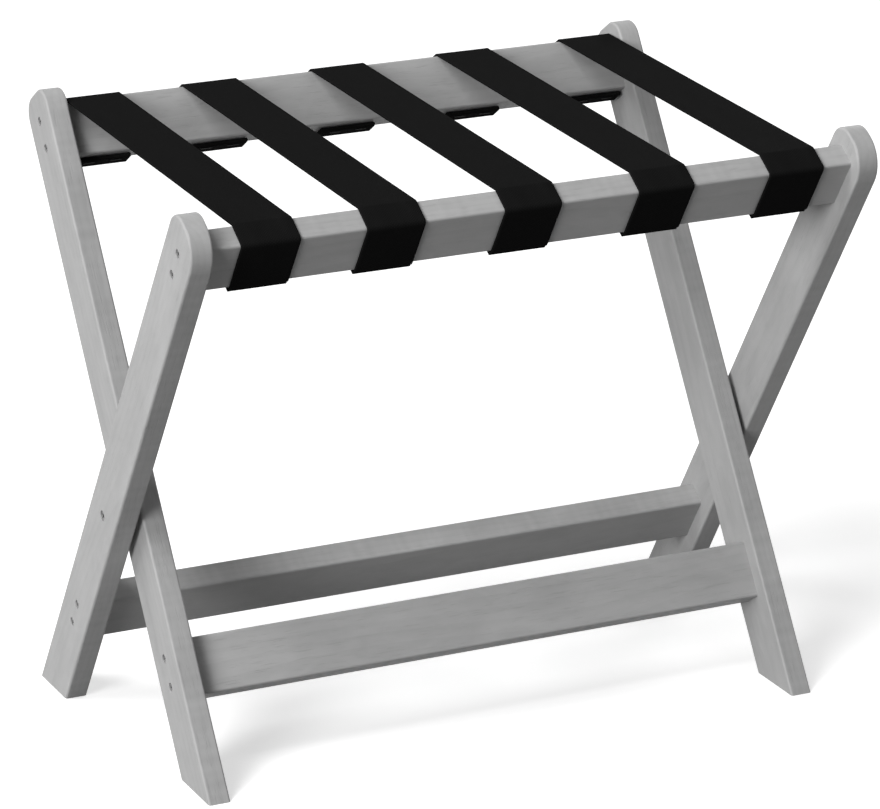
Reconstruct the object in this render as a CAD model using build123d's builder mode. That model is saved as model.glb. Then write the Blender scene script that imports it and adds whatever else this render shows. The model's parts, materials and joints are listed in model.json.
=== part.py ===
"""Folding luggage rack: two crossed wooden frames on a pivot, with webbing straps across their top rails.

Millimetres. X runs along the rack, -Y is the front, +Z is up and the floor is at Z = 0.
The outer frame leans its tops to the front and the inner frame leans its tops to the rear.
"""

import os
from math import cos, radians, sin, tan

from build123d import *

os.makedirs("parts", exist_ok=True)

# rack
rack_length = 600.0
pivot_height = 198.0
lean = radians(33.2)

# legs, measured along the leg from the pivot
leg_width = 50.0
leg_thickness = 19.0
leg_gap = 5.0
outer_leg_reach = 352.0
inner_leg_reach = 363.0
outer_top_front_round = 26.0
outer_top_rear_round = 18.0
inner_top_round = 17.0
leg_edge_round = 2.0

# rails: the top ones are set down from the leg tops, the low ones from the pivot
rail_width = 48.5
rail_thickness = 22.0
front_rail_inset = 16.0
rear_rail_inset = 12.0
front_low_rail_drop = 112.5
rear_low_rail_drop = 107.5
rail_edge_round = 2.0

# screws that hold a rail between two legs
screw_spacing = 24.0
screw_shank = 4.0
screw_length = 45.0
screw_head = 7.0
screw_head_height = 2.6
screw_head_sink = 0.8
screw_slot_length = 4.2
screw_slot_width = 0.9
screw_slot_depth = 1.2
screw_head_clearance = 0.2
screw_shank_clearance = 0.05

# pivot screws, fixed in the inner legs and running in the outer legs
pivot_shank = 6.0
pivot_grip = 14.0
pivot_head = 8.4
pivot_head_height = 3.0
pivot_head_sink = 1.0
pivot_slot_length = 5.0
pivot_slot_width = 1.2
pivot_slot_depth = 1.5
pivot_running_clearance = 0.05
pivot_head_clearance = 0.3
spacer_diameter = 20.0
spacer_play = 0.3

# webbing straps
strap_width = 50.0
strap_thickness = 2.0
strap_count = 5
left_strap_pitch = 105.5
strap_leg_clearance = 2.25
strap_lift = 0.3
strap_end_margin = 2.0
strap_seam = 4.0
strap_seam_gap = 0.3

# staples that hold the turned-under strap ends
staple_crown = 10.0
staple_wire_width = 1.2
staple_wire_thickness = 0.7
staple_bite = 7.0
staple_offset = 12.0
staple_signs = (-1, 1)

# what follows from the sizes above
OUTER = 1
INNER = -1
sides = {"left": -1, "right": 1}
half_width = leg_width / 2
leg_top_rounds = {
    OUTER: {half_width: outer_top_front_round, -half_width: outer_top_rear_round},
    INNER: {half_width: inner_top_round, -half_width: inner_top_round},
}
outer_face = rack_length / 2
outer_inside = outer_face - leg_thickness
inner_face = outer_inside - leg_gap
inner_inside = inner_face - leg_thickness
half_rail = rail_thickness / 2
front_rail_reach = outer_leg_reach - front_rail_inset
rear_rail_reach = inner_leg_reach - rear_rail_inset
front_low_rail_reach = -front_low_rail_drop
rear_low_rail_reach = -rear_low_rail_drop
screw_grip = screw_length + screw_head_sink - leg_thickness

# the end straps lie beside the inner legs; the second stands closer to the left one and the rest are evenly spread
right_strap_x = inner_inside - strap_leg_clearance - strap_width / 2
second_strap_x = left_strap_pitch - right_strap_x
strap_pitch = (right_strap_x - second_strap_x) / (strap_count - 2)
strap_xs = [-right_strap_x] + [second_strap_x + strap_pitch * i for i in range(strap_count - 1)]


def top_overhang(reach, corner_round):
    """How far a leg's top stands out from the pivot along Y, at its rounded outermost corner."""
    return (reach - corner_round) * sin(lean) + (half_width - corner_round) * cos(lean) + corner_round


# the pivot lies off the middle by half of what one top overhangs more than the other
outer_overhang = top_overhang(outer_leg_reach, outer_top_front_round)
inner_overhang = top_overhang(inner_leg_reach, inner_top_round)
pivot_y = (outer_overhang - inner_overhang) / 2


def leg_plane(x, frame):
    """Plane across the rack at x: its X axis runs up the frame's legs, its Y axis to their front edge."""
    up = (0, -frame * sin(lean), cos(lean))
    return Plane(origin=(x, pivot_y, pivot_height), x_dir=up, z_dir=(1, 0, 0))


def rail_under_plane(frame, reach):
    """Plane across the legs at a distance along them from the pivot, with its normal up the leg."""
    side_plane = leg_plane(0, frame)
    return Plane(origin=side_plane.from_local_coords((reach, 0, 0)), x_dir=(1, 0, 0), z_dir=side_plane.x_dir)


def screw_reaches(rail_reach):
    """Where a rail's two screws lie along the leg."""
    middle = rail_reach - rail_width / 2
    return [middle - screw_spacing / 2, middle + screw_spacing / 2]


def save(builder, label):
    """Names a finished piece and writes its STEP file."""
    builder.part.label = label
    export_step(builder.part, f"parts/{label}.step")


def make_leg(label, side, frame, face, reach, rail_reaches):
    """A flat board with a rounded top, a foot cut level with the floor, and sunk holes for its screws."""

    def foot(offset):
        return frame * offset * tan(lean) - pivot_height / cos(lean)

    outside = leg_plane(side * face, frame)
    screw_spots = [(spot, 0) for rail_reach in rail_reaches for spot in screw_reaches(rail_reach)]
    with BuildPart() as leg:
        with BuildSketch(outside) as outline:
            with BuildLine():
                Polyline(
                    (foot(half_width), half_width),
                    (reach, half_width),
                    (reach, -half_width),
                    (foot(-half_width), -half_width),
                    close=True,
                )
            make_face()
            for offset, corner_round in leg_top_rounds[frame].items():
                corner = outline.vertices().sort_by_distance((reach, offset, 0))[0]
                fillet(corner, radius=corner_round)
        extrude(amount=-side * leg_thickness)
        face_edges = leg.faces().filter_by(Axis.X).edges()
        fillet(face_edges.sort_by(Axis.Z)[2:], radius=leg_edge_round)

        with BuildSketch(outside):
            with Locations(*screw_spots):
                Circle(screw_shank / 2 + screw_shank_clearance)
        extrude(amount=-side * leg_thickness, mode=Mode.SUBTRACT)
        with BuildSketch(outside):
            with Locations(*screw_spots):
                Circle(screw_head / 2 + screw_head_clearance)
        extrude(amount=-side * (screw_head_sink + screw_head_height), mode=Mode.SUBTRACT)

        pivot_depth = leg_thickness if frame == OUTER else pivot_grip
        with BuildSketch(outside):
            Circle(pivot_shank / 2 + pivot_running_clearance)
        extrude(amount=-side * pivot_depth, mode=Mode.SUBTRACT)
        if frame == OUTER:
            with BuildSketch(outside):
                Circle(pivot_head / 2 + pivot_head_clearance)
            pocket = pivot_head_sink + pivot_head_height + pivot_head_clearance
            extrude(amount=-side * pocket, mode=Mode.SUBTRACT)
    save(leg, label)


def make_rail(label, frame, reach, half_length, stapled):
    """A board butted between two legs, with pilot holes in its ends and slots for the staples' legs."""
    with BuildPart() as rail:
        with BuildSketch(leg_plane(-half_length, frame)):
            with Locations((reach - rail_width / 2, 0)):
                Rectangle(rail_width, rail_thickness)
        extrude(amount=2 * half_length)
        fillet(rail.edges().filter_by(Axis.X), radius=rail_edge_round)
        for side in sides.values():
            with BuildSketch(leg_plane(side * half_length, frame)):
                with Locations(*[(spot, 0) for spot in screw_reaches(reach)]):
                    Circle(screw_shank / 2 + screw_shank_clearance)
            extrude(amount=-side * screw_grip, mode=Mode.SUBTRACT)
        if stapled:
            with BuildSketch(rail_under_plane(frame, reach - rail_width)):
                with Locations(*staple_leg_spots()):
                    Rectangle(staple_wire_thickness, staple_wire_width)
            extrude(amount=staple_bite, mode=Mode.SUBTRACT)
    save(rail, label)


def make_rail_screws(label, frame, reach, face):
    """The four cross-slotted screws of one rail, two through each leg."""
    spots = [(spot, 0) for spot in screw_reaches(reach)]
    with BuildPart() as screws:
        for side in sides.values():
            head_top = leg_plane(side * (face - screw_head_sink), frame)
            with BuildSketch(head_top):
                with Locations(*spots):
                    Circle(screw_head / 2)
            extrude(amount=-side * screw_head_height)
            with BuildSketch(head_top):
                with Locations(*spots):
                    Circle(screw_shank / 2)
            extrude(amount=-side * screw_length)
            with BuildSketch(head_top):
                with Locations(*spots):
                    Rectangle(screw_slot_length, screw_slot_width)
                    Rectangle(screw_slot_width, screw_slot_length)
            extrude(amount=-side * screw_slot_depth, mode=Mode.SUBTRACT)
    save(screws, label)


def make_pivot_screw(label, side):
    """A shouldered screw, headed in the outer leg's face and fixed in the inner leg."""
    head_top = leg_plane(side * (outer_face - pivot_head_sink), OUTER)
    tip = inner_face - pivot_grip
    with BuildPart() as screw:
        with BuildSketch(head_top):
            Circle(pivot_head / 2)
        extrude(amount=-side * pivot_head_height)
        with BuildSketch(head_top):
            Circle(pivot_shank / 2)
        extrude(amount=-side * (outer_face - pivot_head_sink - tip))
        with BuildSketch(head_top):
            Rectangle(pivot_slot_length, pivot_slot_width)
            Rectangle(pivot_slot_width, pivot_slot_length)
        extrude(amount=-side * pivot_slot_depth, mode=Mode.SUBTRACT)
    save(screw, label)


def make_pivot_spacer(label, side):
    """A ring on the pivot screw that keeps the crossing legs apart."""
    with BuildPart() as spacer:
        with BuildSketch(leg_plane(side * inner_face, INNER)):
            Circle(spacer_diameter / 2)
            Circle(pivot_shank / 2 + pivot_running_clearance, mode=Mode.SUBTRACT)
        extrude(amount=side * (leg_gap - spacer_play))
    save(spacer, label)


# strap route, in (Y, Z), along the middle of the webbing's thickness
strap_stand_off = strap_lift + strap_thickness / 2
strap_bend = rail_edge_round + strap_stand_off


def beside_rail(frame, reach, offset):
    """A point in (Y, Z) at a distance along the frame's legs and an offset to their front edge."""
    spot = leg_plane(0, frame).from_local_coords((reach, offset, 0))
    return Vector(spot.Y, spot.Z)


def crossing(point_a, direction_a, point_b, direction_b):
    """Where two lines in (Y, Z) meet."""
    apart = point_b - point_a
    turn = direction_a.cross(direction_b).Z
    return point_a + direction_a * (apart.cross(direction_b).Z / turn)


# the free span is tangent to the rounded upper inside corners of both top rails
front_corner = beside_rail(OUTER, front_rail_reach - rail_edge_round, rail_edge_round - half_rail)
rear_corner = beside_rail(INNER, rear_rail_reach - rail_edge_round, half_rail - rail_edge_round)
span_direction = (rear_corner - front_corner).normalized()
span_rise = Vector(-span_direction.Y, span_direction.X) * strap_bend
span_start = front_corner + span_rise + span_direction * strap_seam
span_end = rear_corner + span_rise - span_direction * strap_seam


def strap_end_route(frame, rail_reach, outward, seam_point):
    """From the seam of the free span, over the rail's top, down its outer face and under it."""
    over = rail_reach + strap_stand_off
    under = rail_reach - rail_width - strap_stand_off
    face = outward * (half_rail + strap_stand_off)
    top_outer = beside_rail(frame, over, face)
    top_inner = beside_rail(frame, over, 0)
    bend = crossing(seam_point, span_direction, top_outer, top_inner - top_outer)
    low_outer = beside_rail(frame, under, face)
    low_inner = beside_rail(frame, under, outward * (strap_end_margin - half_rail))
    return [seam_point, bend, top_outer, low_outer, low_inner]


def strap_hem_route(frame, rail_reach, outward):
    """The second layer of webbing, turned back under the rail."""
    under = rail_reach - rail_width - strap_stand_off - strap_thickness
    low_inner = beside_rail(frame, under, outward * (strap_end_margin - half_rail))
    low_outer = beside_rail(frame, under, outward * half_rail)
    return [low_inner, low_outer]


def staple_spots(x):
    """Where the staples of the strap at x lie along the rail."""
    return [x + sign * staple_offset for sign in staple_signs]


def staple_leg_spots(xs=strap_xs):
    """Where the staples' legs go into a rail, for the straps at xs."""
    leg_offset = (staple_crown - staple_wire_thickness) / 2
    middles = [spot for x in xs for spot in staple_spots(x)]
    return [(middle + sign * leg_offset, 0) for middle in middles for sign in staple_signs]


def hem_face_reach(rail_reach):
    """Distance along the leg to the underside of the turned-under webbing."""
    return rail_reach - rail_width - strap_lift - 2 * strap_thickness


def make_strap_end(label, x, frame, rail_reach, outward, seam_point):
    """The end of a strap, wrapped over its rail and turned double under it, with slots for its staples."""
    with BuildPart() as strap_end:
        with BuildSketch(Plane.YZ.offset(x - strap_width / 2)):
            with BuildLine() as route:
                FilletPolyline(*strap_end_route(frame, rail_reach, outward, seam_point), radius=strap_bend)
            trace(route.line, line_width=strap_thickness)
            with BuildLine() as hem:
                Line(*strap_hem_route(frame, rail_reach, outward))
            trace(hem.line, line_width=strap_thickness)
        extrude(amount=strap_width)
        with BuildSketch(rail_under_plane(frame, hem_face_reach(rail_reach))):
            with Locations(*staple_leg_spots([x])):
                Rectangle(staple_wire_thickness, staple_wire_width)
        extrude(amount=2 * strap_thickness, mode=Mode.SUBTRACT)
    save(strap_end, label)


def make_strap_span(label, x):
    """The free stretch of a strap between the two top rails."""
    with BuildPart() as span:
        with BuildSketch(Plane.YZ.offset(x - strap_width / 2)):
            with BuildLine() as route:
                Line(span_start, span_end - span_direction * strap_seam_gap)
            trace(route.line, line_width=strap_thickness)
        extrude(amount=strap_width)
    save(span, label)


def make_staples(label, frame, rail_reach):
    """The staples under one top rail, two to a strap."""
    crown_spots = [(spot, 0) for x in strap_xs for spot in staple_spots(x)]
    hem_face = rail_under_plane(frame, hem_face_reach(rail_reach))
    with BuildPart() as staples:
        with BuildSketch(hem_face):
            with Locations(*crown_spots):
                Rectangle(staple_crown, staple_wire_width)
        extrude(amount=-staple_wire_thickness)
        with BuildSketch(hem_face):
            with Locations(*staple_leg_spots()):
                Rectangle(staple_wire_thickness, staple_wire_width)
        extrude(amount=2 * strap_thickness + strap_lift + staple_bite)
    save(staples, label)


# outer frame
for side_name, side in sides.items():
    rails = [front_rail_reach, rear_low_rail_reach]
    make_leg(f"{side_name}_outer_leg", side, OUTER, outer_face, outer_leg_reach, rails)
make_rail("front_top_rail", OUTER, front_rail_reach, outer_inside, stapled=True)
make_rail("rear_bottom_rail", OUTER, rear_low_rail_reach, outer_inside, stapled=False)
make_rail_screws("front_top_rail_screws", OUTER, front_rail_reach, outer_face)
make_rail_screws("rear_bottom_rail_screws", OUTER, rear_low_rail_reach, outer_face)

# inner frame
for side_name, side in sides.items():
    rails = [rear_rail_reach, front_low_rail_reach]
    make_leg(f"{side_name}_inner_leg", side, INNER, inner_face, inner_leg_reach, rails)
make_rail("rear_top_rail", INNER, rear_rail_reach, inner_inside, stapled=True)
make_rail("front_bottom_rail", INNER, front_low_rail_reach, inner_inside, stapled=False)
make_rail_screws("rear_top_rail_screws", INNER, rear_rail_reach, inner_face)
make_rail_screws("front_bottom_rail_screws", INNER, front_low_rail_reach, inner_face)

# pivots
for side_name, side in sides.items():
    make_pivot_screw(f"{side_name}_pivot_screw", side)
    make_pivot_spacer(f"{side_name}_pivot_spacer", side)

# straps and their staples
for number, x in enumerate(strap_xs, start=1):
    make_strap_end(f"strap_{number}_front_end", x, OUTER, front_rail_reach, 1, span_start)
    make_strap_span(f"strap_{number}_span", x)
    make_strap_end(f"strap_{number}_rear_end", x, INNER, rear_rail_reach, -1, span_end)
make_staples("front_staples", OUTER, front_rail_reach)
make_staples("rear_staples", INNER, rear_rail_reach)
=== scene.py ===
"""Folding luggage rack: the looks, in Blender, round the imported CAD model.

Metres, in the model's own frame. X runs along the rack, -Y is the front and +Z is up.
"""

import json
from itertools import count
from math import atan2, ceil, copysign, cos, pi, radians, sin, tan

import bpy
from mathutils import Matrix, Vector, noise


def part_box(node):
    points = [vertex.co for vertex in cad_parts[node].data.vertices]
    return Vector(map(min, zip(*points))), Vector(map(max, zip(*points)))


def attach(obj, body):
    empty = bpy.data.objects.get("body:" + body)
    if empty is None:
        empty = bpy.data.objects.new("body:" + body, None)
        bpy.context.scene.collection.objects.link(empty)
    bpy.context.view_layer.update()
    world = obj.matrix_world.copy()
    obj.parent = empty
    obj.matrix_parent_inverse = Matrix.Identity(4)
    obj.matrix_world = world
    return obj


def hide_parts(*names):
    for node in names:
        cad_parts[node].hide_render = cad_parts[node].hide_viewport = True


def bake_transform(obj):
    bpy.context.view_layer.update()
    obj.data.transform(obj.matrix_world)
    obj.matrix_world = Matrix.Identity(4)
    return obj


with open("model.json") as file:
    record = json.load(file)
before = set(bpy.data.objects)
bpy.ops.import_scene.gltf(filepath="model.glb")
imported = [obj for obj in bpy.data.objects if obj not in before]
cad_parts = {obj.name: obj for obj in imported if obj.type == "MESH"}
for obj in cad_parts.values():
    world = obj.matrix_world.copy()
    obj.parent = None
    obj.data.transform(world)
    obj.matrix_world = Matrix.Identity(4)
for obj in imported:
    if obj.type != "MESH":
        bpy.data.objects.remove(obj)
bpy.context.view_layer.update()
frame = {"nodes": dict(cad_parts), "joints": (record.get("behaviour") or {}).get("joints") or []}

# camera, measured from the pivot, found by fitting the rack's corners to the photograph
CAMERA_PLACE = Vector((-1.5224, -3.2479, 1.2712))
CAMERA_AIM = Vector((0.0049, 0.0030, 0.0500))
CAMERA_ROLL = radians(0.136)
LENS_MM = 185.4
SENSOR_MM = 36.0

# boards, as in the CAD source
LEAN = radians(33.2)
LEG_WIDTH = 0.050
LEG_THICKNESS = 0.019
RAIL_WIDTH = 0.0485
RAIL_THICKNESS = 0.022
RAIL_EDGE_ROUND = 0.002
FRONT_RAIL_REACH = 0.336
REAR_RAIL_REACH = 0.351
FRONT_LOW_RAIL_REACH = -0.1125
REAR_LOW_RAIL_REACH = -0.1075
OUTER = 1
INNER = -1

# webbing: layers lie one pitch apart where it is turned double, the fold stops a margin short of the
# rail's inner face, and the seams lie just inside the bends
WEBBING_THICKNESS = 0.00196
WEBBING_PITCH = 0.002
WEBBING_LIFT = 0.0003
WEBBING_END_MARGIN = 0.008
SELVEDGE_WIDTH = 0.0024
PANEL_THINNING = 0.10
SEAM_INSET = 0.005
STRAP_COUNT = 5

# the webbing's slight unevenness, its size and its features per metre across and along
WEBBING_WAVER = 0.00012
WAVER_ACROSS = 25
WAVER_ALONG = 18
WAVER_PLANE = 0.5

# how finely the straps are meshed
ARC_STEP = radians(12)
RUN_STEP = 0.006
EDGE_STEPS = 6
PANEL_STEPS = 20
SHARP_ANGLE = radians(50)

# colours, linear
WOOD_DARK = (0.340, 0.340, 0.340, 1)
WOOD_MIDDLE = (0.440, 0.440, 0.440, 1)
WOOD_LIGHT = (0.540, 0.540, 0.540, 1)
# webbing, from the weave's dips to its crowns: painted shade in the dips and painted light on the crowns,
# with the yarn's own fuzz and fading between them
WEBBING_SHADED_VALLEY = (0.0055, 0.0055, 0.0055, 1)
WEBBING_LIT_CROWN = (0.0190, 0.0190, 0.0190, 1)
SCREW_DARK = (0.200, 0.200, 0.200, 1)
SCREW_LIGHT = (0.360, 0.360, 0.360, 1)
STAPLE_DARK = (0.006, 0.006, 0.006, 1)
STAPLE_LIGHT = (0.018, 0.018, 0.018, 1)
SPACER_DARK = (0.012, 0.012, 0.012, 1)
SPACER_LIGHT = (0.026, 0.026, 0.026, 1)

# where a noise has its middle, and between which values most of it lies
NOISE_MIDDLE = 0.5
NOISE_LOW = 0.3
NOISE_HIGH = 0.7

# wood grain, in features per metre along, across and through a board
STREAK_GRAIN = (5, 260, 260)
CLOUD_GRAIN = (11, 38, 38)
FIGURE_GRAIN = (26, 50, 50)
PORE_GRAIN = (60, 1500, 1500)
RUB_GRAIN = (45, 160, 160)
RING_WAVER_GRAIN = (2.2, 9, 9)
PLANER_MARKS_PER_METRE = 150.0

# how the boards differ: what the number of a board is multiplied by
BOARD_SHIFT = Vector((1.7, 0.31, 0.53))
HEART_WIDTH_STEP = 2.1
HEART_DEPTH_STEP = 1.3
PLANER_STEP = 3.0
TONE_STEP = 2.4

# growth rings, round a heart that lies under the board
RING_PITCH = 0.0052
RING_WAVER = 0.034
LATE_WOOD_RISE = (0.35, 0.96)
HEART_DEPTH = 0.055
HEART_DEPTH_SPREAD = 0.015
HEART_WIDTH_SPREAD = 0.030
RUBBED_EDGE = 0.0016

# the values between which a pore, a rubbed patch and a narrow face come in
PORE_RISE = (0.62, 0.74)
RUB_RISE = (0.35, 0.65)
NARROW_RISE = (0.7, 0.95)

# what moves the wood's tone, from dark at 0 to light at 1
WOOD_TONE = 0.5
WOOD_TONE_SPREAD = 0.05
STREAK_TONE = 0.14
CLOUD_TONE = 0.65
FIGURE_TONE = 0.45
LATE_WOOD_TONE = -0.08
LATE_WOOD_MIDDLE = 0.4
PORE_TONE = -0.16
PLANER_TONE = 0.32
RUB_TONE = 0.08

# the lacquer on the wood, and the height of its grain
WOOD_ROUGHNESS = 0.40
CLOUD_ROUGHNESS = 0.16
STREAK_ROUGHNESS = 0.12
RUB_ROUGHNESS = -0.08
WOOD_SPECULAR = 0.2
WOOD_RELIEF = 0.00012
STREAK_RELIEF = 0.3
PORE_RELIEF = -0.8
PLANER_RELIEF = 0.8

# weave: ribs along the webbing, picks across it, and the fuzz and fading of its yarn per metre
RIB_PITCH = 0.0014
PICK_PITCH = 0.0019
YARN_FULLNESS = 0.6
YARN_DIP = 0.30
FUZZ_GRAIN = (2600, 700, 1)
FADE_GRAIN = (60, 14, 1)
FADE_MIDDLE = 0.4
# how much darker the weave's dips are painted than its crowns, as painted shade
WEAVE_SHADE_TONE = 0.62
FUZZ_TONE = 0.35
FADE_TONE = 0.45
FUZZ_RELIEF = 0.15
WEAVE_RELIEF = 0.00016
WEBBING_SPECULAR = 0.001
WEBBING_ROUGHNESS = (0.62, 0.78)

# metal and plastic, in features per metre
PATCH_GRAIN = (420, 420, 420)
SCRATCH_GRAIN = (2400, 500, 2400)
PATCH_SHARE = 0.7
SCRATCH_SHARE = 0.3
SCRATCH_RELIEF = 0.00003
SCREW_ROUGHNESS = (0.34, 0.52)
STAPLE_ROUGHNESS = (0.70, 0.85)
PLASTIC_GRAIN = (1800, 1800, 1800)
SCUFF_GRAIN = (160, 160, 160)
SCUFF_TONE = 0.7
PLASTIC_TONE = 0.1
PLASTIC_RELIEF = 0.00005
PLASTIC_ROUGHNESS = (0.42, 0.58)

# studio: the floor is darker for the light that it throws back than for the eye
WHITE = (1, 1, 1, 1)
WORLD_LIGHT = 0.20
FLOOR_SIZE = 16.0
FLOOR_LIT_COLOUR = (0.12, 0.12, 0.12, 1)
FLOOR_SEEN_COLOUR = (0.9, 0.9, 0.9, 1)
FLOOR_GLOW = 0.5
LAMP_AIM = Vector((0, 0, 0.25))
LAMP_SIZE = 3.9
LAMPS = {
    "left_front": ((-7.2, -4.5, 3.2), 500),
    "left_top": ((-5.4, -0.9, 7.4), 430),
    "right_back": ((6.6, 5.7, 2.6), 300),
}

pivot = Vector(frame["joints"][0]["pos_m"])


def leg_up(side):
    """The direction up the legs of one frame."""
    return Vector((0, -side * sin(LEAN), cos(LEAN)))


def leg_front(side):
    """The direction across the legs of one frame, to their front edge."""
    return Vector((0, -cos(LEAN), -side * sin(LEAN)))


def on_frame(side, reach, offset):
    """A point in the rack's middle plane, along a frame's legs from the pivot and across them."""
    place = Vector((0, pivot.y, pivot.z))
    return place + leg_up(side) * reach + leg_front(side) * offset


class Graph:
    """The node tree of one material, with short forms for the nodes that the materials here use."""

    def __init__(self, name):
        self.material = bpy.data.materials.new(name)
        self.material.use_nodes = True
        self.tree = self.material.node_tree
        self.shader = self.tree.nodes["Principled BSDF"]

    def put(self, value, socket):
        """Links a socket, or sets a plain value."""
        if isinstance(value, bpy.types.NodeSocket):
            self.tree.links.new(value, socket)
        else:
            socket.default_value = value

    def add(self, kind, inputs=None, **settings):
        made = self.tree.nodes.new("ShaderNode" + kind)
        for key, value in settings.items():
            setattr(made, key, value)
        for key, value in (inputs or {}).items():
            self.put(value, made.inputs[key])
        return made

    def math(self, operation, *values):
        made = self.add("Math", operation=operation)
        for value, socket in zip(values, made.inputs):
            self.put(value, socket)
        return made.outputs[0]

    def vector(self, operation, first, second):
        return self.add("VectorMath", {0: first, 1: second}, operation=operation).outputs["Vector"]

    def dot(self, vector, axis):
        made = self.add("VectorMath", {0: vector, 1: axis}, operation="DOT_PRODUCT")
        return made.outputs["Value"]

    def moved(self, base, *parts):
        """A base moved by parts, each a value, the value at which it does nothing, and an amount."""
        for value, middle, amount in parts:
            change = self.math("MULTIPLY", self.math("SUBTRACT", value, middle), amount)
            base = self.math("ADD", base, change)
        return base

    def noise(self, vector, detail=3.0, roughness=0.5, distortion=0.0):
        """Noise of about one feature per unit of the vector."""
        values = {"Vector": vector, "Scale": 1.0, "Detail": detail}
        made = self.add("TexNoise", values | {"Roughness": roughness, "Distortion": distortion})
        return made.outputs["Fac"]

    def stretch(self, vector, per_metre):
        """The vector scaled to features per metre on each axis."""
        return self.vector("MULTIPLY", vector, per_metre)

    def range(self, value, low, high, to_low=0.0, to_high=1.0):
        """The value taken smoothly from one range to another, held at the ends."""
        inputs = {"Value": value, "From Min": low, "From Max": high, "To Min": to_low, "To Max": to_high}
        return self.add("MapRange", inputs, interpolation_type="SMOOTHSTEP").outputs["Result"]

    def ramp(self, factor, *colours):
        """Colours spread evenly over a factor from 0 to 1."""
        made = self.add("ValToRGB", {"Fac": factor})
        stops = made.color_ramp.elements
        while len(stops) < len(colours):
            stops.new(0.5)
        for i, colour in enumerate(colours):
            stops[i].position = i / (len(colours) - 1)
            stops[i].color = colour
        return made.outputs["Color"]

    def bump(self, height, distance):
        return self.add("Bump", {"Height": height, "Distance": distance}).outputs["Normal"]

    def finish(self, colour, roughness, normal, metallic=0.0, specular=0.5):
        """Joins the results to the shader, and sets its plain values."""
        self.put(colour, self.shader.inputs["Base Color"])
        self.put(roughness, self.shader.inputs["Roughness"])
        self.put(normal, self.shader.inputs["Normal"])
        self.put(metallic, self.shader.inputs["Metallic"])
        self.put(specular, self.shader.inputs["Specular IOR Level"])
        return self.material


def growth_rings(graph, board, width, depth, seed):
    """The dark late wood of rings round the log's heart, which wavers along the board."""
    wander = graph.noise(graph.stretch(board, RING_WAVER_GRAIN), detail=1.0)
    from_heart = graph.math("SUBTRACT", width, HEART_WIDTH_SPREAD * sin(seed * HEART_WIDTH_STEP))
    heart_depth = HEART_DEPTH + HEART_DEPTH_SPREAD * cos(seed * HEART_DEPTH_STEP)
    above_heart = graph.math("ADD", depth, heart_depth)
    width_square = graph.math("MULTIPLY", from_heart, from_heart)
    squares = graph.math("ADD", width_square, graph.math("MULTIPLY", above_heart, above_heart))
    radius = graph.math("ADD", graph.math("SQRT", squares), graph.math("MULTIPLY", wander, RING_WAVER))
    ring = graph.math("FRACT", graph.math("DIVIDE", radius, RING_PITCH))
    return graph.range(ring, *LATE_WOOD_RISE)


def planer_marks(graph, length, across, seed):
    """Faint marks across the board's narrow faces, about 0."""
    normal = graph.add("TexCoord").outputs["Normal"]
    narrow = graph.range(graph.math("ABSOLUTE", graph.dot(normal, across)), *NARROW_RISE)
    station = graph.math("MULTIPLY", length, PLANER_MARKS_PER_METRE)
    place = graph.add("CombineXYZ", {0: station, 1: seed * PLANER_STEP}).outputs[0]
    mark = graph.math("SUBTRACT", graph.noise(place, detail=0.0), NOISE_MIDDLE)
    return graph.math("MULTIPLY", mark, narrow)


def rubbed_edges(graph, board, width, depth, half_width, half_thickness):
    """1 along the board's edges where they are rubbed, unevenly."""
    by_width = graph.range(graph.math("ABSOLUTE", width), half_width - RUBBED_EDGE, half_width)
    by_depth = graph.range(graph.math("ABSOLUTE", depth), half_thickness - RUBBED_EDGE, half_thickness)
    wear = graph.noise(graph.stretch(board, RUB_GRAIN), detail=3.0, roughness=0.65)
    return graph.math("MULTIPLY", graph.math("MULTIPLY", by_width, by_depth), graph.range(wear, *RUB_RISE))


def wood(name, origin, along, across, through, half_width, half_thickness, seed):
    """Grey-stained planed wood for one board, in the board's own axes."""
    graph = Graph(name)
    from_origin = graph.vector("SUBTRACT", graph.add("TexCoord").outputs["Object"], origin)
    length = graph.dot(from_origin, along)
    width = graph.dot(from_origin, across)
    depth = graph.dot(from_origin, through)
    centred = graph.add("CombineXYZ", {0: length, 1: width, 2: depth}).outputs[0]
    board = graph.vector("ADD", centred, BOARD_SHIFT * seed)

    # long streaks, clouds of stain, the blotchy figure of the wood and short pores
    streak = graph.noise(graph.stretch(board, STREAK_GRAIN), detail=4.0, roughness=0.6)
    cloud = graph.noise(graph.stretch(board, CLOUD_GRAIN), detail=2.0)
    figure = graph.noise(graph.stretch(board, FIGURE_GRAIN), detail=3.0, roughness=0.55, distortion=0.9)
    pore = graph.range(graph.noise(graph.stretch(board, PORE_GRAIN), detail=1.0), *PORE_RISE)

    late_wood = growth_rings(graph, board, width, depth, seed)
    planed = planer_marks(graph, length, across, seed)
    rub = rubbed_edges(graph, board, width, depth, half_width, half_thickness)

    factor = graph.moved(
        WOOD_TONE + WOOD_TONE_SPREAD * sin(seed * TONE_STEP),
        (streak, NOISE_MIDDLE, STREAK_TONE),
        (cloud, NOISE_MIDDLE, CLOUD_TONE),
        (figure, NOISE_MIDDLE, FIGURE_TONE),
        (late_wood, LATE_WOOD_MIDDLE, LATE_WOOD_TONE),
        (pore, 0, PORE_TONE),
        (planed, 0, PLANER_TONE),
        (rub, 0, RUB_TONE),
    )
    colour = graph.ramp(factor, WOOD_DARK, WOOD_MIDDLE, WOOD_LIGHT)
    dull = (cloud, 0, CLOUD_ROUGHNESS), (streak, 0, STREAK_ROUGHNESS), (rub, 0, RUB_ROUGHNESS)
    roughness = graph.moved(WOOD_ROUGHNESS, *dull)
    relief = graph.moved(0, (streak, 0, STREAK_RELIEF), (pore, 0, PORE_RELIEF), (planed, 0, PLANER_RELIEF))
    return graph.finish(colour, roughness, graph.bump(relief, WOOD_RELIEF), specular=WOOD_SPECULAR)


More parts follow.
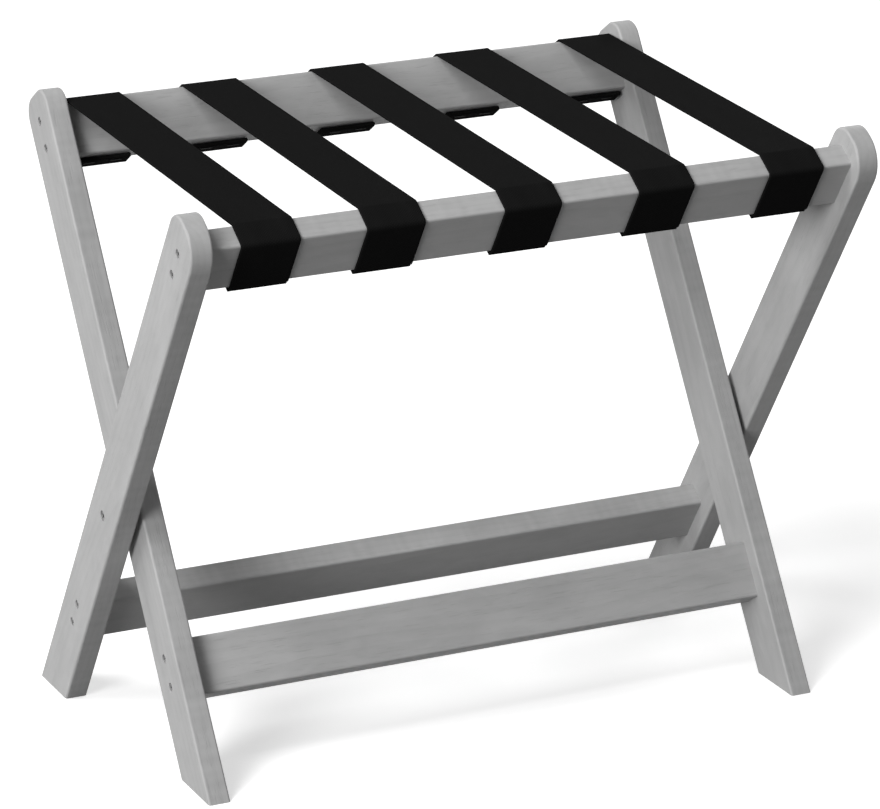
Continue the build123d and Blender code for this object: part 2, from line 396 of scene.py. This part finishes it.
def webbing():
    """Black polypropylene webbing: ribs along it and picks across it, with painted shade in the weave's dips.
    """
    graph = Graph("webbing")
    uv = graph.add("UVMap", uv_map="webbing").outputs["UV"]
    parted = graph.add("SeparateXYZ", {0: uv})
    rib = graph.math("DIVIDE", parted.outputs["X"], RIB_PITCH)
    pick = graph.math("DIVIDE", parted.outputs["Y"], PICK_PITCH)

    # each rib is a yarn that rises and dips, half a step out from its neighbour
    yarn = graph.math("ABSOLUTE", graph.math("SINE", graph.math("MULTIPLY", rib, pi)))
    stagger = graph.math("MULTIPLY", graph.math("MODULO", graph.math("FLOOR", rib), 2.0), 0.5)
    phase = graph.math("MULTIPLY", graph.math("ADD", pick, stagger), 2 * pi)
    dip = graph.moved(1 - YARN_DIP, (graph.math("SINE", phase), 0, YARN_DIP))
    weave = graph.math("MULTIPLY", graph.math("POWER", yarn, YARN_FULLNESS), dip)

    fuzz = graph.noise(graph.stretch(uv, FUZZ_GRAIN), detail=2.0)
    fade = graph.noise(graph.stretch(uv, FADE_GRAIN), detail=3.0, roughness=0.6)
    # painted shade: the colour follows the weave, darker in its dips and lighter on its crowns; the fuzz and
    # the fading are the yarn's own tone
    parts = (weave, 0, WEAVE_SHADE_TONE), (fuzz, NOISE_MIDDLE, FUZZ_TONE), (fade, FADE_MIDDLE, FADE_TONE)
    colour = graph.ramp(graph.moved(0, *parts), WEBBING_SHADED_VALLEY, WEBBING_LIT_CROWN)
    roughness = graph.range(fade, NOISE_LOW, NOISE_HIGH, *WEBBING_ROUGHNESS)
    normal = graph.bump(graph.moved(weave, (fuzz, 0, FUZZ_RELIEF)), WEAVE_RELIEF)
    return graph.finish(colour, roughness, normal, specular=WEBBING_SPECULAR)


def metal(name, dark, light, roughness):
    """Plated steel with dull patches and fine scratches."""
    graph = Graph(name)
    place = graph.add("TexCoord").outputs["Object"]
    patch = graph.noise(graph.stretch(place, PATCH_GRAIN), detail=3.0)
    scratch = graph.noise(graph.stretch(place, SCRATCH_GRAIN), detail=2.0, distortion=0.4)
    factor = graph.moved(0, (patch, 0, PATCH_SHARE), (scratch, 0, SCRATCH_SHARE))
    colour = graph.ramp(factor, dark, light)
    dull = graph.range(factor, NOISE_LOW, NOISE_HIGH, *roughness)
    return graph.finish(colour, dull, graph.bump(scratch, SCRATCH_RELIEF), metallic=1.0)


def moulded_plastic():
    """Dark moulded plastic with a fine spark-eroded grain."""
    graph = Graph("moulded_plastic")
    place = graph.add("TexCoord").outputs["Object"]
    grain = graph.noise(graph.stretch(place, PLASTIC_GRAIN), detail=2.0)
    scuff = graph.noise(graph.stretch(place, SCUFF_GRAIN), detail=3.0)
    colour = graph.ramp(graph.moved(PLASTIC_TONE, (scuff, 0, SCUFF_TONE)), SPACER_DARK, SPACER_LIGHT)
    roughness = graph.range(scuff, NOISE_LOW, NOISE_HIGH, *PLASTIC_ROUGHNESS)
    return graph.finish(colour, roughness, graph.bump(grain, PLASTIC_RELIEF))


def dress(node, material):
    """Gives a CAD node its material."""
    for material_slot in frame["nodes"][node].material_slots:
        material_slot.material = material


def middle_of(node):
    """The middle of a node's box."""
    low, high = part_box(node)
    return (Vector(low) + Vector(high)) / 2


def dress_legs(seeds):
    """A material for each leg, so that its grain runs along it and no two match."""
    for where in ("left", "right"):
        for side, word in ((OUTER, "outer"), (INNER, "inner")):
            node = f"{where}_{word}_leg"
            origin = Vector((middle_of(node).x, pivot.y, pivot.z))
            axes = (leg_up(side), leg_front(side), Vector((1, 0, 0)))
            dress(node, wood(f"wood_{node}", origin, *axes, LEG_WIDTH / 2, LEG_THICKNESS / 2, next(seeds)))


def dress_rails(seeds):
    """A material for each rail, in the same way."""
    rails = {
        "front_top_rail": (OUTER, FRONT_RAIL_REACH),
        "rear_bottom_rail": (OUTER, REAR_LOW_RAIL_REACH),
        "rear_top_rail": (INNER, REAR_RAIL_REACH),
        "front_bottom_rail": (INNER, FRONT_LOW_RAIL_REACH),
    }
    for node, (side, reach) in rails.items():
        origin = on_frame(side, reach - RAIL_WIDTH / 2, 0)
        axes = (Vector((1, 0, 0)), leg_up(side), leg_front(side))
        dress(node, wood(f"wood_{node}", origin, *axes, RAIL_WIDTH / 2, RAIL_THICKNESS / 2, next(seeds)))


def dress_fittings():
    """Materials for the screws, the staples and the pivot spacers."""
    screws = metal("screw_steel", SCREW_DARK, SCREW_LIGHT, SCREW_ROUGHNESS)
    staples = metal("staple_steel", STAPLE_DARK, STAPLE_LIGHT, STAPLE_ROUGHNESS)
    plastic = moulded_plastic()
    for node in frame["nodes"]:
        if "screw" in node:
            dress(node, screws)
        elif "staple" in node:
            dress(node, staples)
        elif "spacer" in node:
            dress(node, plastic)


def crossing(point_a, direction_a, point_b, direction_b):
    """Where two lines in the rack's middle plane meet."""
    apart = point_b - point_a
    turn = direction_a.cross(direction_b).x
    return point_a + direction_a * (apart.cross(direction_b).x / turn)


def strap_corners():
    """The corners of a strap's middle line from each hem's cut end, the radii there and the span's direction.

    The front corners run up to the span and the rear corners run on from it.
    """
    stand_off = WEBBING_LIFT + WEBBING_PITCH / 2
    bend = RAIL_EDGE_ROUND + stand_off
    half_rail = RAIL_THICKNESS / 2
    edge = half_rail - RAIL_EDGE_ROUND
    front_round = on_frame(OUTER, FRONT_RAIL_REACH - RAIL_EDGE_ROUND, -edge)
    rear_round = on_frame(INNER, REAR_RAIL_REACH - RAIL_EDGE_ROUND, edge)
    span = (rear_round - front_round).normalized()
    above = Vector((0, -span.z, span.y)) * bend

    def end(side, rail_reach, outward):
        over = rail_reach + stand_off
        under = rail_reach - RAIL_WIDTH - stand_off
        face = outward * (half_rail + stand_off)
        fold = outward * (WEBBING_END_MARGIN - half_rail)
        top_inner = crossing(front_round + above, span, on_frame(side, over, 0), leg_front(side))
        return [
            on_frame(side, under - WEBBING_PITCH, outward * half_rail),
            on_frame(side, under - WEBBING_PITCH, fold),
            on_frame(side, under, fold),
            on_frame(side, under, face),
            on_frame(side, over, face),
            top_inner,
        ]

    front = end(OUTER, FRONT_RAIL_REACH, 1)
    rear = end(INNER, REAR_RAIL_REACH, -1)[::-1]
    fold_round = WEBBING_PITCH / 2
    return front, rear, [fold_round, fold_round, bend, bend, bend], span


def rounded_route(corners, radii):
    """Points along the straight runs between corners and the arcs round them."""
    route = [corners[0]]

    def run_to(point):
        start = route[-1]
        steps = max(1, ceil((point - start).length / RUN_STEP))
        route.extend(start.lerp(point, (i + 1) / steps) for i in range(steps))

    for before, corner, after, radius in zip(corners, corners[1:], corners[2:], radii):
        into = (corner - before).normalized()
        out = (after - corner).normalized()
        turn = atan2(into.cross(out).x, into.dot(out))
        start = corner - into * radius * tan(abs(turn) / 2)
        run_to(start)
        spoke = Vector((0, into.z, -into.y)) * copysign(radius, turn)
        centre = start - spoke
        steps = ceil(abs(turn) / ARC_STEP)
        for i in range(steps):
            route.append(centre + Matrix.Rotation(turn * (i + 1) / steps, 3, "X") @ spoke)
    run_to(corners[-1])
    return route


def webbing_section(width):
    """The closed section of the webbing, as (across, up), with round selvedges."""
    half = width / 2
    edge = WEBBING_THICKNESS / 2
    flat = half - edge
    section = []
    for face in (1, -1):
        for i in range(PANEL_STEPS + 1):
            across = face * flat * (2 * i / PANEL_STEPS - 1)
            inside = min(1, (flat - abs(across)) / SELVEDGE_WIDTH)
            up = face * edge * (1 - PANEL_THINNING * inside * inside * (3 - 2 * inside))
            section.append((across, up))
        for i in range(1, EDGE_STEPS):
            angle = pi / 2 - pi * i / EDGE_STEPS
            section.append((face * (flat + edge * cos(angle)), face * edge * sin(angle)))
    return section


def waver(x, along):
    """A small unevenness of the webbing, the same each time."""
    return WEBBING_WAVER * noise.noise(Vector((x * WAVER_ACROSS, along * WAVER_ALONG, WAVER_PLANE)))


def webbing_rings(route, section, middle, start_length):
    """The section set along a route, ring after ring, and the length along the strap at each ring."""
    lengths = [start_length]
    for before, after in zip(route, route[1:]):
        lengths.append(lengths[-1] + (after - before).length)
    points = []
    for i, place in enumerate(route):
        ahead = (route[min(i + 1, len(route) - 1)] - route[max(i - 1, 0)]).normalized()
        up = Vector((0, -ahead.z, ahead.y))
        for across, height in section:
            x = middle + across
            points.append(place + Vector((x, 0, 0)) + up * (height + waver(x, lengths[i])))
    return points, lengths


def make_webbing(name, route, middle, width, start_length, material):
    """A closed length of webbing along a route, and how far along the strap it ends."""
    section = webbing_section(width)
    ring = len(section)
    points, lengths = webbing_rings(route, section, middle, start_length)
    faces = []
    for i in range(len(route) - 1):
        for j in range(ring):
            after = (j + 1) % ring
            faces.append((i * ring + j, i * ring + after, (i + 1) * ring + after, (i + 1) * ring + j))
    last = (len(route) - 1) * ring
    faces.append(tuple(range(ring - 1, -1, -1)))
    faces.append(tuple(range(last, last + ring)))

    mesh = bpy.data.meshes.new(name)
    mesh.from_pydata(points, [], faces)
    uv_map = mesh.uv_layers.new(name="webbing")
    for loop in mesh.loops:
        station, spot = divmod(loop.vertex_index, ring)
        uv_map.data[loop.index].uv = (section[spot][0] + width / 2, lengths[station])
    mesh.shade_smooth()
    mesh.set_sharp_from_angle(angle=SHARP_ANGLE)
    mesh.materials.append(material)
    piece = bpy.data.objects.new(name, mesh)
    bpy.context.scene.collection.objects.link(piece)
    return piece, lengths[-1]


def make_strap(number, material):
    """One strap for its three CAD solids: two ends that ride on their rails, and the span between them."""
    front, rear, radii, span = strap_corners()
    front_seam = front[-1] + span * SEAM_INSET
    rear_seam = rear[0] - span * SEAM_INSET
    routes = {
        "front_end": rounded_route(front + [front_seam], radii),
        "span": rounded_route([front_seam, rear_seam], []),
        "rear_end": rounded_route([rear_seam] + rear, radii[::-1]),
    }
    end = 0.0
    for part, route in routes.items():
        node = f"strap_{number}_{part}"
        low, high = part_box(node)
        width = high[0] - low[0]
        start = end
        name = f"webbing_{number}_{part}"
        piece, end = make_webbing(name, route, (low[0] + high[0]) / 2, width, start, material)
        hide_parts(node)
        if part == "span":
            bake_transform(piece)
        else:
            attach(piece, "outer_frame" if part == "front_end" else "inner_frame")


def facing(place, aim):
    """The matrix of a camera or lamp that stands at a place and faces a point."""
    return Matrix.Translation(place) @ (aim - place).to_track_quat("-Z", "Y").to_matrix().to_4x4()


def soft_lamp(name, place, power):
    """A square studio lamp that faces the rack."""
    lamp = bpy.data.lights.new(name, "AREA")
    lamp.size = LAMP_SIZE
    lamp.energy = power
    holder = bpy.data.objects.new(name, lamp)
    holder.matrix_world = facing(Vector(place), LAMP_AIM)
    bpy.context.scene.collection.objects.link(holder)


def seen_directly(tree):
    """1 for rays from the camera, a reflection or clear glass, and 0 for the rays that carry light."""
    path = tree.nodes.new("ShaderNodeLightPath")
    total = path.outputs["Is Camera Ray"]
    for name in ("Is Glossy Ray", "Is Transmission Ray"):
        added = tree.nodes.new("ShaderNodeMath")
        added.operation = "MAXIMUM"
        tree.links.new(total, added.inputs[0])
        tree.links.new(path.outputs[name], added.inputs[1])
        total = added.outputs[0]
    return total


def make_world():
    """Even light from all round, in front of a white background."""
    world = bpy.data.worlds.new("studio")
    bpy.context.scene.world = world
    world.use_nodes = True
    tree = world.node_tree
    lighting = tree.nodes["Background"]
    lighting.inputs["Color"].default_value = WHITE
    lighting.inputs["Strength"].default_value = WORLD_LIGHT
    white = tree.nodes.new("ShaderNodeBackground")
    white.inputs["Color"].default_value = WHITE
    white.inputs["Strength"].default_value = 1.0
    choice = tree.nodes.new("ShaderNodeMixShader")
    tree.links.new(seen_directly(tree), choice.inputs[0])
    tree.links.new(lighting.outputs[0], choice.inputs[1])
    tree.links.new(white.outputs[0], choice.inputs[2])
    tree.links.new(choice.outputs[0], tree.nodes["World Output"].inputs["Surface"])


def make_floor():
    """A plain pale floor that looks white and keeps the rack's shadow."""
    mesh = bpy.data.meshes.new("floor")
    half = FLOOR_SIZE / 2
    corners = [(-half, -half, 0), (half, -half, 0), (half, half, 0), (-half, half, 0)]
    mesh.from_pydata(corners, [], [(0, 1, 2, 3)])
    floor = bpy.data.objects.new("floor", mesh)
    bpy.context.scene.collection.objects.link(floor)
    mesh.materials.append(floor_material())


def floor_material():
    """White to the eye, and darker for the light that the floor throws back."""
    material = bpy.data.materials.new("floor")
    material.use_nodes = True
    tree = material.node_tree
    tree.nodes.remove(tree.nodes["Principled BSDF"])
    lighting = tree.nodes.new("ShaderNodeBsdfDiffuse")
    lighting.inputs["Color"].default_value = FLOOR_LIT_COLOUR
    shown = tree.nodes.new("ShaderNodeBsdfDiffuse")
    shown.inputs["Color"].default_value = FLOOR_SEEN_COLOUR
    glow = tree.nodes.new("ShaderNodeEmission")
    glow.inputs["Strength"].default_value = FLOOR_GLOW
    mixed = tree.nodes.new("ShaderNodeAddShader")
    tree.links.new(shown.outputs[0], mixed.inputs[0])
    tree.links.new(glow.outputs[0], mixed.inputs[1])
    choice = tree.nodes.new("ShaderNodeMixShader")
    tree.links.new(seen_directly(tree), choice.inputs[0])
    tree.links.new(lighting.outputs[0], choice.inputs[1])
    tree.links.new(mixed.outputs[0], choice.inputs[2])
    tree.links.new(choice.outputs[0], tree.nodes["Material Output"].inputs["Surface"])
    return material


def make_camera():
    """The camera at the photograph's viewing angle."""
    camera = bpy.data.cameras.new("camera")
    camera.lens = LENS_MM
    camera.sensor_width = SENSOR_MM
    camera.sensor_fit = "HORIZONTAL"
    holder = bpy.data.objects.new("camera", camera)
    view = facing(pivot + CAMERA_PLACE, pivot + CAMERA_AIM)
    holder.matrix_world = view @ Matrix.Rotation(-CAMERA_ROLL, 4, "Z")
    bpy.context.scene.collection.objects.link(holder)
    bpy.context.scene.camera = holder


make_camera()
board_seeds = count(1)
dress_legs(board_seeds)
dress_rails(board_seeds)
dress_fittings()
strap_material = webbing()
for strap_number in range(1, STRAP_COUNT + 1):
    make_strap(strap_number, strap_material)

make_world()
make_floor()
for lamp_name, (lamp_place, lamp_power) in LAMPS.items():
    soft_lamp(lamp_name, lamp_place, lamp_power)
bpy.context.scene.view_settings.view_transform = "Standard"
